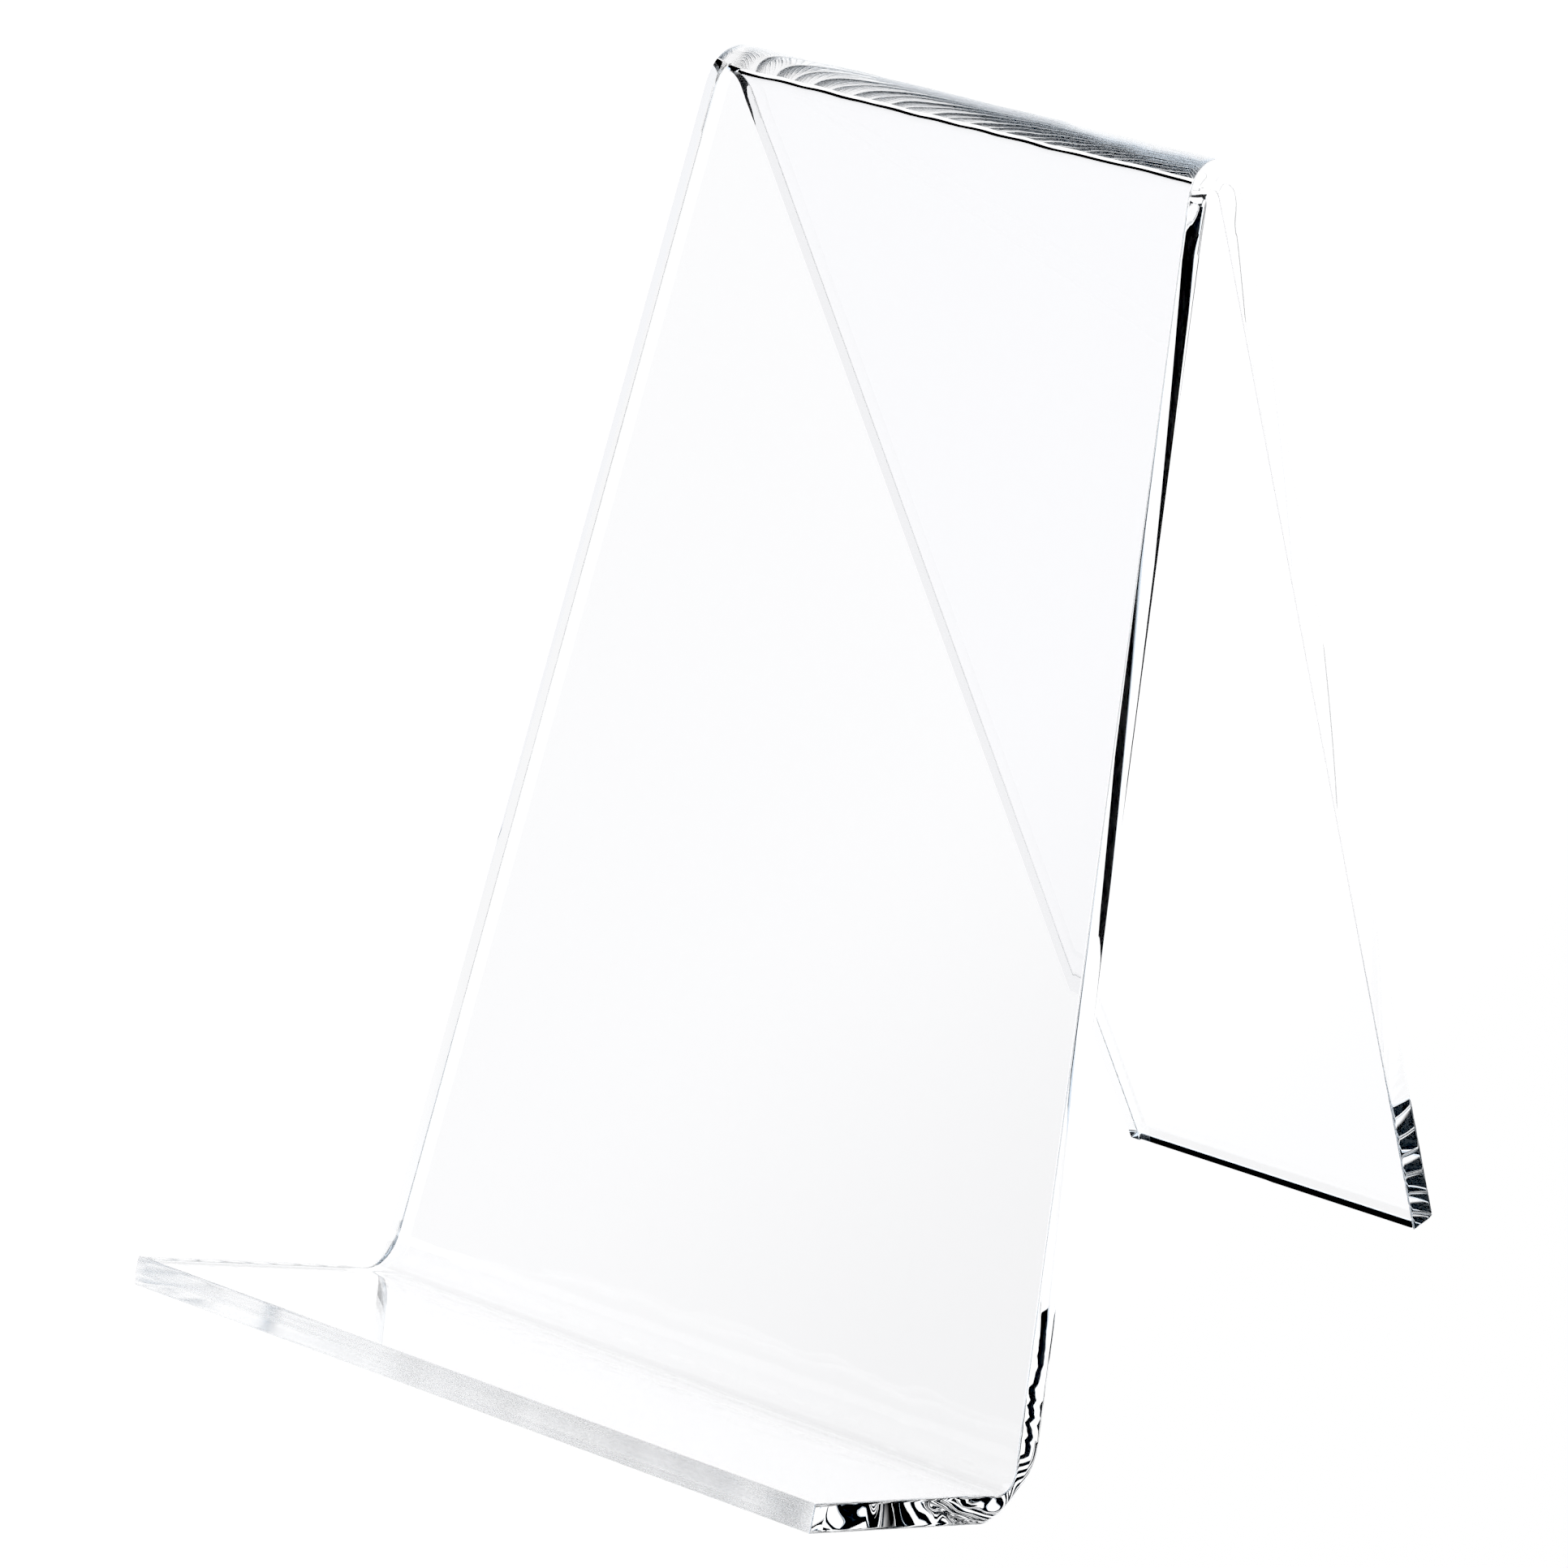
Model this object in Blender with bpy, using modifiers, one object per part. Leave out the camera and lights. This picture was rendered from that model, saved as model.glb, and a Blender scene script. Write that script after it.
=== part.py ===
"""Plate display stand: one tapered sheet of clear acrylic, heat-bent twice.

Metres, +Z up. The plate stands on the ledge at -Y and leans back towards +Y
against the panel. The origin is at the centre of the footprint, on the surface
that the stand rests on.
"""
import math

import bmesh
import bpy

OBJECT_NAME = "plate_display_stand"
SHEET_NAME = "bent_acrylic_sheet"

# The flat blank, a straight-sided trapezoid.
SHEET = 0.0030
FRONT_WIDTH = 0.0956
FOOT_WIDTH = 0.0404
ARRIS = 0.00025

# The side profile, along the middle of the sheet. Leans are from the vertical.
LEDGE_RUN = 0.0275
LEDGE_TILT = math.radians(15.3)
PANEL_RUN = 0.1215
PANEL_LEAN = math.radians(16.5)
LEG_LEAN = math.radians(20.4)

# The two heat bends. The soft sheet is drawn thinner halfway round each one.
HEEL_RADIUS = 0.0055
HEEL_THINNING = 0.45
HEEL_STEPS = 14
CREST_RADIUS = 0.0028
CREST_THINNING = 0.08
CREST_STEPS = 20

EDGE_ANGLE = math.radians(60)
ARRIS_SEGMENTS = 2
THICKNESS_GROUP = "thickness"

ACRYLIC_COLOUR = (0.93, 0.95, 0.98, 1.0)
ACRYLIC_ROUGHNESS = 0.02
ACRYLIC_IOR = 1.49


def clear_scene():
    """Remove every object, so that the script starts from nothing."""
    for obj in list(bpy.data.objects):
        bpy.data.objects.remove(obj, do_unlink=True)


def make_collection(name):
    """Make a collection in the scene for the stand's parts."""
    collection = bpy.data.collections.new(name)
    bpy.context.scene.collection.children.link(collection)
    return collection


def make_acrylic():
    """Make the clear acrylic of the sheet."""
    material = bpy.data.materials.new("clear_acrylic")
    material.use_nodes = True
    shader = material.node_tree.nodes["Principled BSDF"]
    shader.inputs["Base Color"].default_value = ACRYLIC_COLOUR
    shader.inputs["Roughness"].default_value = ACRYLIC_ROUGHNESS
    shader.inputs["Metallic"].default_value = 0.0
    shader.inputs["IOR"].default_value = ACRYLIC_IOR
    shader.inputs["Transmission Weight"].default_value = 1.0
    return material


class SheetPath:
    """The middle line of the sheet in the YZ plane, from the ledge's front edge.

    Each station is (y, z, heading, distance along the sheet, share of the full
    thickness). The heading is the angle above +Y.
    """

    def __init__(self, heading):
        self.stations = [(0.0, 0.0, heading, 0.0, 1.0)]

    def flat(self, run):
        """Go straight on."""
        y, z, heading, along, _ = self.stations[-1]
        y += run * math.cos(heading)
        z += run * math.sin(heading)
        self.stations.append((y, z, heading, along + run, 1.0))

    def bend(self, radius, turn, thinning, steps):
        """Go round an arc, to the upper side of the sheet where turn is positive."""
        y, z, heading, along, _ = self.stations[-1]
        reach = math.copysign(radius, turn)
        centre_y = y - reach * math.sin(heading)
        centre_z = z + reach * math.cos(heading)
        for step in range(1, steps + 1):
            share = step / steps
            angle = heading + turn * share
            arc_y = centre_y + reach * math.sin(angle)
            arc_z = centre_z - reach * math.cos(angle)
            thickness = 1.0 - thinning * math.sin(math.pi * share) ** 2
            arc_along = along + radius * abs(turn) * share
            self.stations.append((arc_y, arc_z, angle, arc_along, thickness))

    def lowest_point(self):
        """Height of the lowest point on the sheet's under side."""
        half = SHEET / 2
        return min(z - half * share * math.cos(angle) for _, z, angle, _, share in self.stations)


def leg_run(path):
    """Length of the leg that brings its foot down level with the heel."""
    leg_top = path.stations[-1][1]
    foot_depth = (SHEET / 2 - ARRIS) * math.sin(LEG_LEAN)
    return (leg_top - path.lowest_point() - foot_depth) / math.cos(LEG_LEAN)


def make_path():
    """Lay out ledge, heel, panel, crest and leg."""
    panel_heading = math.pi / 2 - PANEL_LEAN
    leg_heading = LEG_LEAN - math.pi / 2
    path = SheetPath(-LEDGE_TILT)
    path.flat(LEDGE_RUN)
    path.bend(HEEL_RADIUS, panel_heading + LEDGE_TILT, HEEL_THINNING, HEEL_STEPS)
    path.flat(PANEL_RUN)
    path.bend(CREST_RADIUS, leg_heading - panel_heading, CREST_THINNING, CREST_STEPS)
    path.flat(leg_run(path))
    return path


def half_width(along, blank_length):
    """Half of the blank's width at a distance from its front edge."""
    share = along / blank_length
    return (FRONT_WIDTH + (FOOT_WIDTH - FRONT_WIDTH) * share) / 2


def make_sheet(path, material):
    """Bend the blank: a strip on the middle line, given its thickness by Solidify."""
    rows = len(path.stations) - 1
    blank_length = path.stations[-1][3]
    mesh = bpy.data.meshes.new(SHEET_NAME)
    sheet = bpy.data.objects.new(SHEET_NAME, mesh)
    thickness_group = sheet.vertex_groups.new(name=THICKNESS_GROUP)

    strip = bmesh.new()
    bmesh.ops.create_grid(strip, x_segments=1, y_segments=rows, size=1.0)
    weights = strip.verts.layers.deform.verify()
    for vert in strip.verts:
        row = round((vert.co.y + 1.0) / 2.0 * rows)
        y, z, _, along, thickness = path.stations[row]
        vert.co = (vert.co.x * half_width(along, blank_length), y, z)
        vert[weights][thickness_group.index] = thickness
    strip.to_mesh(mesh)
    strip.free()
    mesh.shade_smooth()
    mesh.materials.append(material)

    wall = sheet.modifiers.new("wall", "SOLIDIFY")
    wall.thickness = SHEET
    wall.offset = 0.0
    wall.use_even_offset = True
    wall.vertex_group = THICKNESS_GROUP

    arris = sheet.modifiers.new("arris", "BEVEL")
    arris.width = ARRIS
    arris.segments = ARRIS_SEGMENTS
    arris.limit_method = "ANGLE"
    arris.angle_limit = EDGE_ANGLE
    arris.use_clamp_overlap = False
    arris.harden_normals = True
    return sheet


def stand_on_origin(sheet):
    """Move the mesh so that the finished sheet's footprint is centred on the origin."""
    graph = bpy.context.evaluated_depsgraph_get()
    corners = [vert.co.copy() for vert in sheet.evaluated_get(graph).data.vertices]
    ys = [corner.y for corner in corners]
    floor = min(corner.z for corner in corners)
    middle = (min(ys) + max(ys)) / 2
    for vert in sheet.data.vertices:
        vert.co.y -= middle
        vert.co.z -= floor


def main():
    clear_scene()
    collection = make_collection(OBJECT_NAME)
    sheet = make_sheet(make_path(), make_acrylic())
    collection.objects.link(sheet)
    stand_on_origin(sheet)


main()
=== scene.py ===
"""Looks of the plate display stand: one clear acrylic sheet in a bright studio.

Everything is in metres in the CAD's frame: +Z up, the ledge at -Y, the leg at +Y.
"""

import math

import bmesh
import bpy
from mathutils import Matrix, Vector, noise


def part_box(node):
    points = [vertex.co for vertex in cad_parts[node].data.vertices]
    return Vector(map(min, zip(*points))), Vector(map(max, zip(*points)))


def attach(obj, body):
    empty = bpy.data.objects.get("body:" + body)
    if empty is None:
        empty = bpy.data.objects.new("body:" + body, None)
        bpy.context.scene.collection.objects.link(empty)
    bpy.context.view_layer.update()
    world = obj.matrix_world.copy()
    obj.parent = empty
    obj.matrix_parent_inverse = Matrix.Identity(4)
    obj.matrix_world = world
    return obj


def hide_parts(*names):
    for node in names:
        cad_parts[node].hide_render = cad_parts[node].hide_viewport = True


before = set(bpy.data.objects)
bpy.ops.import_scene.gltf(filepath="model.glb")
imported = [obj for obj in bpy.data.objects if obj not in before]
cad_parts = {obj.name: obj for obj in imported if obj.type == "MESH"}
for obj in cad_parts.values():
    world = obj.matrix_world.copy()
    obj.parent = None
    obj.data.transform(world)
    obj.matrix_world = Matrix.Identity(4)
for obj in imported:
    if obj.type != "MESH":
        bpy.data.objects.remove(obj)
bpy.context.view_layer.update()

CAD_NODE = "bent_acrylic_sheet"
CAD_LOW, CAD_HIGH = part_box(CAD_NODE)

# ---------------------------------------------------------------- the sheet's shape
# The CAD solid's driving sizes, with finer steps round the bends. Only the crest differs:
# it is a little thicker here than the flat sheet, where the CAD solid is thinned.
SHEET = 0.0030
FRONT_WIDTH = 0.0956
FOOT_WIDTH = 0.0404
LEDGE_RUN = 0.0275
LEDGE_TILT = math.radians(15.3)
PANEL_RUN = 0.1215
PANEL_LEAN = math.radians(16.5)
LEG_LEAN = math.radians(20.4)
HEEL_RADIUS = 0.0055
HEEL_THINNING = 0.45
HEEL_STEPS = 56
CREST_RADIUS = 0.0028
CREST_THICKENING = 0.05
CREST_STEPS = 80
COLUMNS = 72
FINE_STEP = 0.0002

# A real bend starts and stops gently, so it runs on longer than a plain arc. The flats beside
# it give up some of their run for that, which keeps the stand's height.
BEND_EASE = 0.45
BEND_STRETCH = 1.16
BEND_STRETCH_GIVE = 0.15

# The polished rim: softened corners and a face that swells a little.
ARRIS = 0.00016
ARRIS_STEPS = 2
SWELL = 0.000070
SWELL_OFFSET = 0.30
SWELL_STEPS = 14
SWELL_VARIATION = 0.25
SWELL_LENGTH = 0.016
SWELL_SEED = 5.3
END_REACH = 0.003

# Unevenness that the heater leaves along each bend line, and a little way beside it.
SOFT_REACH = 0.0048
SOFT_STEPS = 12
RIPPLE_LENGTH = 0.0045
RIPPLE_THICKNESS = 0.04
RIPPLE_SHIFT = 0.00005
RIPPLE_STRETCH = 0.5
THICKNESS_SEED = 9.1
SHIFT_SEED = 3.7

# The order of the sheet's materials.
FACE_SLOT, RIM_SLOT, FRONT_EDGE_SLOT = range(3)


class SheetPath:
    """The middle line of the sheet in the YZ plane, from the ledge's front edge."""

    def __init__(self, heading):
        self.length = 0.0
        self.stations = []
        self.pieces = []
        self.end = (0.0, 0.0, heading)

    def add(self, run, turn, thinning, steps):
        """Go on for a run; a turn bends it to the sheet's upper side where positive."""
        self.pieces.append((self.length, run, self.end, turn, thinning))
        start = self.length
        self.length += run
        self.stations += [start + run * step / steps for step in range(1, steps + 1)]
        y, z, heading, _ = self.at(self.length)
        self.end = (y, z, heading)

    def flat(self, run, softened):
        """Go straight on; softened names the ends that the heater reached."""
        start = self.length
        self.add(run, 0.0, 0.0, 1)
        reach = [SOFT_REACH * step / SOFT_STEPS for step in range(1, SOFT_STEPS + 1)]
        near = [start + gone for gone in reach if "start" in softened]
        far = [self.length - gone for gone in reversed(reach) if "end" in softened]
        self.stations = self.stations[:-1] + near + far + self.stations[-1:]

    def bend(self, radius, turn, thinning, steps):
        self.add(radius * BEND_STRETCH * abs(turn), turn, thinning, steps)

    def at(self, along):
        """Give (y, z, heading, share of full thickness) at a distance along."""
        within = [piece for piece in self.pieces if along <= piece[0] + piece[1]]
        start, run, (y, z, heading), turn, thinning = (within or self.pieces[-1:])[0]
        gone = along - start
        if turn == 0.0:
            return y + gone * math.cos(heading), z + gone * math.sin(heading), heading, 1.0
        steps = max(1, math.ceil(abs(gone) / FINE_STEP))
        for step in range(steps):
            angle = heading + turn * self.turned((step + 0.5) / steps * gone / run)
            y += gone / steps * math.cos(angle)
            z += gone / steps * math.sin(angle)
        angle = heading + turn * self.turned(gone / run)
        return y, z, angle, 1.0 - thinning * math.sin(math.pi * gone / run) ** 2

    @staticmethod
    def turned(share):
        """Share of a bend's turn made at a share of its run; the ends turn gently."""
        return share - BEND_EASE * math.sin(2 * math.pi * share) / (2 * math.pi)

    def softness(self, along):
        """Give 1 halfway round a bend, easing to 0 a little way into the flats."""
        most = 0.0
        for start, run, _, turn, _ in self.pieces:
            away = abs(along - start - run / 2) / (run / 2 + SOFT_REACH)
            if turn != 0.0 and away < 1.0:
                most = max(most, math.cos(math.pi / 2 * away) ** 2)
        return most

    def near_crest(self, along):
        """Whether a distance along is past the middle of the panel."""
        panel_start = self.pieces[2][0]
        return along > panel_start + PANEL_RUN / 2

    def lowest_point(self):
        """Height of the lowest point on the sheet's under side."""
        low = 0.0
        for along in self.stations:
            _, z, angle, share = self.at(along)
            low = min(low, z - SHEET / 2 * share * math.cos(angle))
        return low


def make_path():
    """Lay out ledge, heel, panel, crest and leg."""
    panel_heading = math.pi / 2 - PANEL_LEAN
    leg_heading = LEG_LEAN - math.pi / 2
    heel_turn = panel_heading + LEDGE_TILT
    crest_turn = leg_heading - panel_heading
    heel_give = HEEL_RADIUS * math.tan(heel_turn / 2) * BEND_STRETCH_GIVE
    crest_give = CREST_RADIUS * BEND_STRETCH_GIVE
    path = SheetPath(-LEDGE_TILT)
    path.flat(LEDGE_RUN - heel_give, "end")
    path.bend(HEEL_RADIUS, heel_turn, HEEL_THINNING, HEEL_STEPS)
    path.flat(PANEL_RUN - heel_give - crest_give, "start end")
    path.bend(CREST_RADIUS, crest_turn, 0.0, CREST_STEPS)
    foot_depth = SHEET / 2 * math.sin(LEG_LEAN)
    drop = path.end[1] - path.lowest_point() - foot_depth
    path.flat(drop / math.cos(LEG_LEAN), "start")
    return path


def half_width(path, along):
    """Half of the blank's width at a distance from its front edge."""
    return (FRONT_WIDTH + (FOOT_WIDTH - FRONT_WIDTH) * along / path.length) / 2


def uneven(x, along, length, seed):
    """Smooth unevenness, about -1 to 1, mostly across the sheet's width."""
    return noise.noise(Vector((x / length, along / length * RIPPLE_STRETCH, seed)))


def rounded(steps):
    """Give stations from -1 to 1, each with its reach into the rounded corner."""
    eighth_turn = math.radians(45)
    corner = [math.tan(eighth_turn * step / ARRIS_STEPS) for step in range(ARRIS_STEPS, 0, -1)]
    low = [(-1.0, -reach) for reach in corner]
    flats = [(2 * step / steps - 1, 0.0) for step in range(steps + 1)]
    high = [(1.0, reach) for reach in reversed(corner)]
    return low + flats + high


def end_share(distance):
    """Give 1 at an end of the sheet, falling to 0 a little way in."""
    return max(0.0, 1.0 - distance / END_REACH)


def place(path, across, run, through):
    """Put a point of the rounded block on the bent, tapered sheet."""
    along = run[0]
    share, softness = path.at(along)[3], path.softness(along)
    wide = half_width(path, along)
    x = across[0] * (wide - ARRIS)
    share *= 1.0 + RIPPLE_THICKNESS * softness * uneven(x, along, RIPPLE_LENGTH, THICKNESS_SEED)
    if path.near_crest(along):
        share += CREST_THICKENING * softness
    half = SHEET / 2 * share
    v = through[0] * (half - ARRIS)
    corner = Vector((across[1], run[1], through[1])).normalized() * ARRIS
    x += corner.x
    along += corner.y
    v += corner.z
    side = math.copysign(1.0, x)
    swell = SWELL * (1.0 + SWELL_VARIATION * uneven(side, along / SWELL_LENGTH, 1.0, SWELL_SEED))
    fall = swell * (v / half - SWELL_OFFSET) ** 2
    x -= fall * x / wide
    along += fall * (end_share(along) - end_share(path.length - along))
    y, z, heading, _ = path.at(along)
    v += RIPPLE_SHIFT * softness * uneven(x, along, RIPPLE_LENGTH, SHIFT_SEED)
    return Vector((x, y - v * math.sin(heading), z + v * math.cos(heading)))


def clear_of_rim(step, last):
    """Whether a step across a face is past the rounded corners at both ends."""
    return ARRIS_STEPS <= step < last - ARRIS_STEPS


def make_sheet():
    """Build the bent sheet as one closed mesh."""
    path = make_path()
    across = rounded(COLUMNS)
    through = rounded(SWELL_STEPS)
    corner = [reach for _, reach in through if reach > 0.0]
    flats = [ARRIS] + path.stations[:-1] + [path.length - ARRIS]
    along = [(ARRIS, -reach) for reach in reversed(corner)]
    along += [(station, 0.0) for station in flats]
    along += [(path.length - ARRIS, reach) for reach in corner]
    last = (len(across) - 1, len(along) - 1, len(through) - 1)

    skin = bmesh.new()
    found = {}

    def vert(key):
        if key not in found:
            i, j, k = key
            found[key] = skin.verts.new(place(path, across[i], along[j], through[k]))
        return found[key]

    for axis in range(3):
        one, two = (axis + 1) % 3, (axis + 2) % 3
        for level in (0, last[axis]):
            for p in range(last[one]):
                for q in range(last[two]):
                    keys = []
                    for dp, dq in ((0, 0), (1, 0), (1, 1), (0, 1)):
                        key = [0, 0, 0]
                        key[axis], key[one], key[two] = level, p + dp, q + dq
                        keys.append(vert(tuple(key)))
                    face = skin.faces.new(keys if level else keys[::-1])
                    if axis == 1 and not level:
                        face.material_index = FRONT_EDGE_SLOT
                    elif axis == 2 and clear_of_rim(p, last[0]) and clear_of_rim(q, last[1]):
                        face.material_index = FACE_SLOT
                    else:
                        face.material_index = RIM_SLOT
                    face.smooth = True
    mesh = bpy.data.meshes.new("acrylic_sheet")
    skin.to_mesh(mesh)
    skin.free()
    sheet = bpy.data.objects.new("acrylic_sheet", mesh)
    bpy.context.collection.objects.link(sheet)
    weighted = sheet.modifiers.new("weighted", "WEIGHTED_NORMAL")
    weighted.mode = "FACE_AREA"
    weighted.weight = 100
    return sheet


def settle(sheet):
    """Apply the modifier and set the sheet where the CAD solid stands."""
    graph = bpy.context.evaluated_depsgraph_get()
    done = bpy.data.meshes.new_from_object(sheet.evaluated_get(graph), depsgraph=graph)
    sheet.modifiers.clear()
    sheet.data = done
    ys = [vert.co.y for vert in done.vertices]
    floor = min(vert.co.z for vert in done.vertices)
    middle = (CAD_LOW[1] + CAD_HIGH[1]) / 2 - (min(ys) + max(ys)) / 2
    done.transform(Matrix.Translation((0.0, middle, CAD_LOW[2] - floor)))


# ---------------------------------------------------------------- materials
ACRYLIC_COLOUR = (0.990, 0.991, 1.0, 1.0)
ACRYLIC_IOR = 1.49

# Marks in the gloss: noise scale along x, y and z, its detail, and the noise's two ends.
HANDLING = ((38.0, 38.0, 38.0), 4.0, (0.45, 0.75))
BUFFING = ((25.0, 2600.0, 2600.0), 3.0, (0.35, 0.70))

# Roughness at the two ends of the noise.
FACE_GLOSS = (0.0, 0.01)
RIM_GLOSS = (0.0, 0.02)
FRONT_EDGE_GLOSS = (0.12, 0.34)


def node(tree, kind, **values):
    """Add a node; keyword names are its properties."""
    made = tree.nodes.new(kind)
    for name, value in values.items():
        setattr(made, name, value)
    return made


def new_material(name):
    material = bpy.data.materials.new(name)
    material.use_nodes = True
    return material, material.node_tree, material.node_tree.nodes["Principled BSDF"]


def clear_acrylic(name, marks, gloss_ends):
    """Clear acrylic whose roughness follows marks, between two ends."""
    stretch, detail, noise_ends = marks
    material, tree, shader = new_material(name)
    shader.inputs["Base Color"].default_value = ACRYLIC_COLOUR
    shader.inputs["IOR"].default_value = ACRYLIC_IOR
    shader.inputs["Transmission Weight"].default_value = 1.0
    mapping = node(tree, "ShaderNodeMapping")
    mapping.inputs["Scale"].default_value = stretch
    streak = node(tree, "ShaderNodeTexNoise")
    streak.inputs["Scale"].default_value = 1.0
    streak.inputs["Detail"].default_value = detail
    gloss = node(tree, "ShaderNodeMapRange")
    names = ("From Min", "From Max", "To Min", "To Max")
    for end, number in zip(names, noise_ends + gloss_ends):
        gloss.inputs[end].default_value = number
    tree.links.new(node(tree, "ShaderNodeTexCoord").outputs["Object"], mapping.inputs["Vector"])
    tree.links.new(mapping.outputs["Vector"], streak.inputs["Vector"])
    tree.links.new(streak.outputs["Fac"], gloss.inputs["Value"])
    tree.links.new(gloss.outputs["Result"], shader.inputs["Roughness"])
    return material


# ---------------------------------------------------------------- studio
# Each light fills the part of the surroundings that lies its WAY. Its ENDS are where it starts
# and where it is full, as the share of a line's length that points that way. SWEEP_TOP_ENDS
# are where the sweep stops on its way up. The room between the lights is black.
SWEEP_LIGHT = 1.03
SWEEP_WAY = (-0.69, 0.72, 0.0)
SWEEP_ENDS = (0.40, 0.48)
SWEEP_TOP_ENDS = (0.57, 0.61)
FRONT_LIGHT = 1.0
FRONT_WAY = (0.50, -0.87, 0.0)
FRONT_ENDS = (0.46, 0.56)
TOP_LIGHT = 1.0
TOP_ENDS = (0.77, 0.80)
UP = (0.0, 0.0, 1.0)

# The front and top lights are a little blue, and the sweep is white.
ROOM_COLOUR = (0.80, 0.90, 1.0, 1.0)
WHITE = (1.0, 1.0, 1.0, 1.0)
WHITE_ENDS = (0.30, 0.40)

# The floor glows as bright as the sweep, and a painted shade dims its glow a little towards the
# stand's right and back.
FLOOR_RADIUS = 2.6
FLOOR_DROP = 0.0002
FLOOR_PAINTED_SHADE_LIGHT = 0.95
FLOOR_PAINTED_SHADE_WAY = (0.92, 0.40, 0.0)
FLOOR_PAINTED_SHADE_ENDS = (-0.06, 0.03)

CAMERA_AZIMUTH = math.radians(44.87)
CAMERA_ELEVATION = math.radians(17.89)
CAMERA_DISTANCE = 1.0777
CAMERA_LENS = 251.0
CAMERA_AIM = Vector((0.0005, -0.0158, -0.0017))

# Levels that the view turns black and white.
BLACK_LEVEL = (0.10, 0.10, 0.10)
WHITE_LEVEL = (0.95, 0.95, 0.95)
BOUNCES = 64


def ramp(tree, value, ends, start, end):
    """Ease from start to end while a value goes from the low to the high of its ends."""
    made = node(tree, "ShaderNodeMapRange", interpolation_type="SMOOTHSTEP")
    names = ("From Min", "From Max", "To Min", "To Max")
    for name, number in zip(names, ends + (start, end)):
        made.inputs[name].default_value = number
    tree.links.new(value, made.inputs["Value"])
    return made.outputs["Result"]


def along_axis(tree, vector, axis):
    """How far a vector points along an axis."""
    made = node(tree, "ShaderNodeVectorMath", operation="DOT_PRODUCT")
    made.inputs[1].default_value = axis
    tree.links.new(vector, made.inputs[0])
    return made.outputs["Value"]


def combined(tree, operation, one, two):
    made = node(tree, "ShaderNodeMath", operation=operation)
    tree.links.new(one, made.inputs[0])
    tree.links.new(two, made.inputs[1])
    return made.outputs["Value"]


def make_world():
    """White light behind, in front and overhead, with a black room between."""
    world = bpy.data.worlds.new("studio")
    bpy.context.scene.world = world
    world.use_nodes = True
    tree = world.node_tree
    background = tree.nodes["Background"]
    way = node(tree, "ShaderNodeTexCoord").outputs["Generated"]
    up = along_axis(tree, way, UP)
    to_sweep = along_axis(tree, way, SWEEP_WAY)
    behind = ramp(tree, to_sweep, SWEEP_ENDS, 0.0, SWEEP_LIGHT)
    below = ramp(tree, up, SWEEP_TOP_ENDS, 1.0, 0.0)
    front = ramp(tree, along_axis(tree, way, FRONT_WAY), FRONT_ENDS, 0.0, FRONT_LIGHT)
    above = ramp(tree, up, TOP_ENDS, 0.0, TOP_LIGHT)
    sweep = combined(tree, "MULTIPLY", behind, below)
    total = combined(tree, "ADD", sweep, combined(tree, "ADD", front, above))
    tree.links.new(total, background.inputs["Strength"])
    tint = node(tree, "ShaderNodeMix", data_type="RGBA")
    tint.inputs["A"].default_value = ROOM_COLOUR
    tint.inputs["B"].default_value = WHITE
    tree.links.new(ramp(tree, to_sweep, WHITE_ENDS, 0.0, 1.0), tint.inputs["Factor"])
    tree.links.new(tint.outputs["Result"], background.inputs["Color"])


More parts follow.
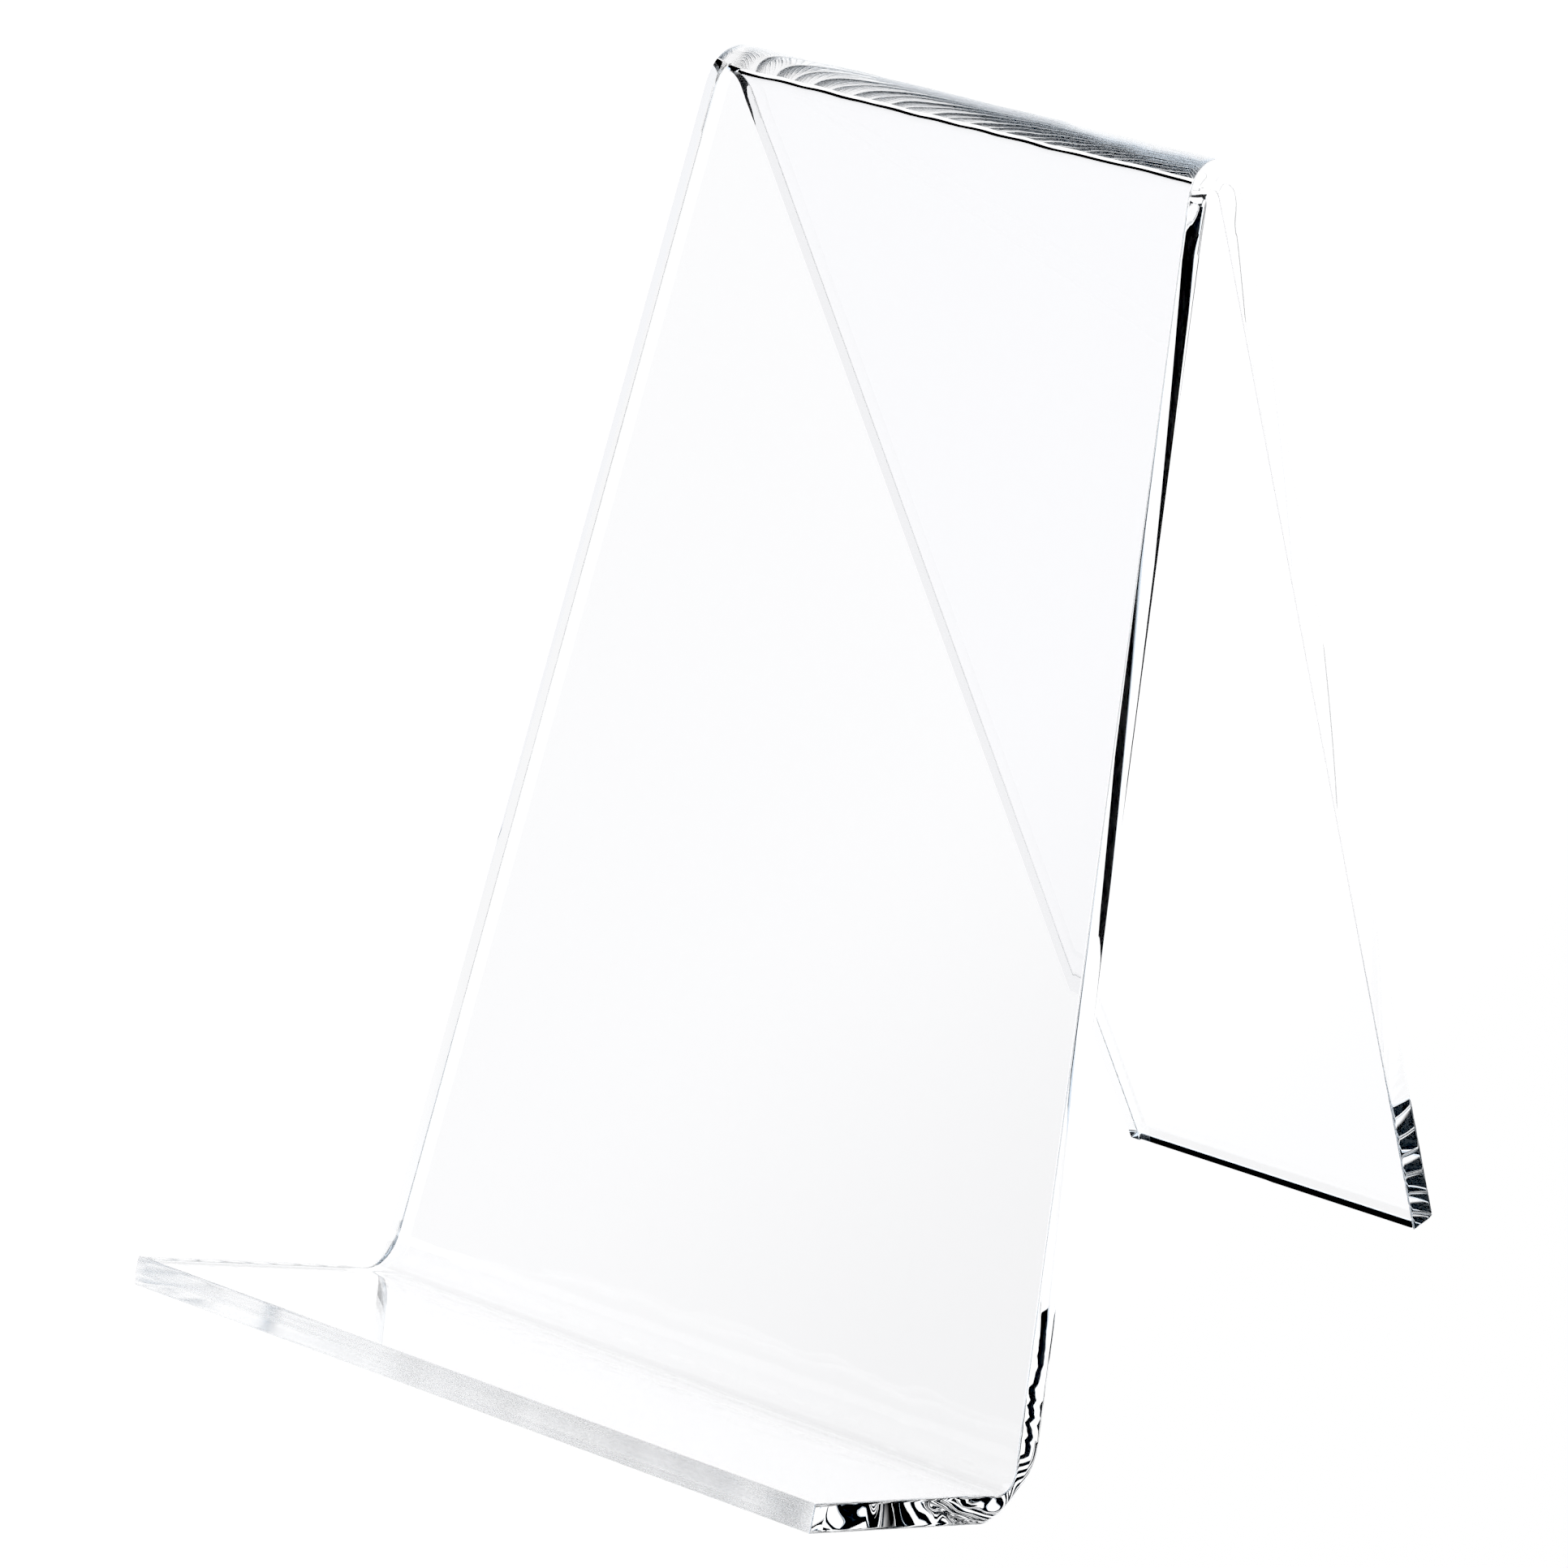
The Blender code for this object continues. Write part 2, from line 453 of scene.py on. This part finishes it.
def make_floor():
    """A wide glowing table top, with a painted shade that dims its glow towards the stand's
    right and back.
    """
    mesh = bpy.data.meshes.new("floor")
    disc = bmesh.new()
    bmesh.ops.create_circle(disc, cap_ends=True, segments=96, radius=FLOOR_RADIUS)
    disc.to_mesh(mesh)
    disc.free()
    floor = bpy.data.objects.new("floor", mesh)
    floor.location.z = CAD_LOW[2] - FLOOR_DROP
    bpy.context.collection.objects.link(floor)
    material, tree, shader = new_material("glowing_floor_painted_shade")
    shader.inputs["Base Color"].default_value = (0.0, 0.0, 0.0, 1.0)
    shader.inputs["Roughness"].default_value = 1.0
    shader.inputs["Specular IOR Level"].default_value = 0.0
    shader.inputs["Emission Color"].default_value = WHITE
    # Painted shade: the glow falls from the sweep's strength to a little less towards the
    # stand's right and back.
    spot = node(tree, "ShaderNodeTexCoord").outputs["Object"]
    across = along_axis(tree, spot, FLOOR_PAINTED_SHADE_WAY)
    light = ramp(tree, across, FLOOR_PAINTED_SHADE_ENDS, SWEEP_LIGHT, FLOOR_PAINTED_SHADE_LIGHT)
    tree.links.new(light, shader.inputs["Emission Strength"])
    floor.data.materials.append(material)


def make_camera():
    """Look at the stand from its front right, a little above."""
    back = Vector((
        math.sin(CAMERA_AZIMUTH) * math.cos(CAMERA_ELEVATION),
        -math.cos(CAMERA_AZIMUTH) * math.cos(CAMERA_ELEVATION),
        math.sin(CAMERA_ELEVATION),
    ))
    target = (CAD_LOW + CAD_HIGH) / 2 + CAMERA_AIM
    data = bpy.data.cameras.new("camera")
    data.sensor_width = 36.0
    data.lens = CAMERA_LENS
    camera = bpy.data.objects.new("camera", data)
    camera.location = target + back * CAMERA_DISTANCE
    camera.rotation_mode = "QUATERNION"
    camera.rotation_quaternion = (-back).to_track_quat("-Z", "Y")
    data.clip_start = 0.05
    data.clip_end = 60.0
    bpy.context.collection.objects.link(camera)
    bpy.context.scene.camera = camera


def set_render():
    """Straight tone response and enough bounces for light piped along the sheet."""
    scene = bpy.context.scene
    scene.view_settings.view_transform = "Standard"
    scene.view_settings.use_curve_mapping = True
    curves = scene.view_settings.curve_mapping
    curves.black_level = BLACK_LEVEL
    curves.white_level = WHITE_LEVEL
    curves.update()
    scene.cycles.max_bounces = BOUNCES
    scene.cycles.transmission_bounces = BOUNCES
    scene.cycles.glossy_bounces = BOUNCES
    scene.cycles.diffuse_bounces = 4
    scene.cycles.caustics_refractive = True
    scene.cycles.caustics_reflective = True
    scene.cycles.blur_glossy = 0.0
    scene.cycles.use_denoising = True


sheet = make_sheet()
settle(sheet)
sheet.data.materials.append(clear_acrylic("acrylic_face", HANDLING, FACE_GLOSS))
sheet.data.materials.append(clear_acrylic("acrylic_edge", HANDLING, RIM_GLOSS))
sheet.data.materials.append(clear_acrylic("acrylic_front_edge", BUFFING, FRONT_EDGE_GLOSS))
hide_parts(CAD_NODE)
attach(sheet, "root")

make_floor()
make_world()
make_camera()
set_render()
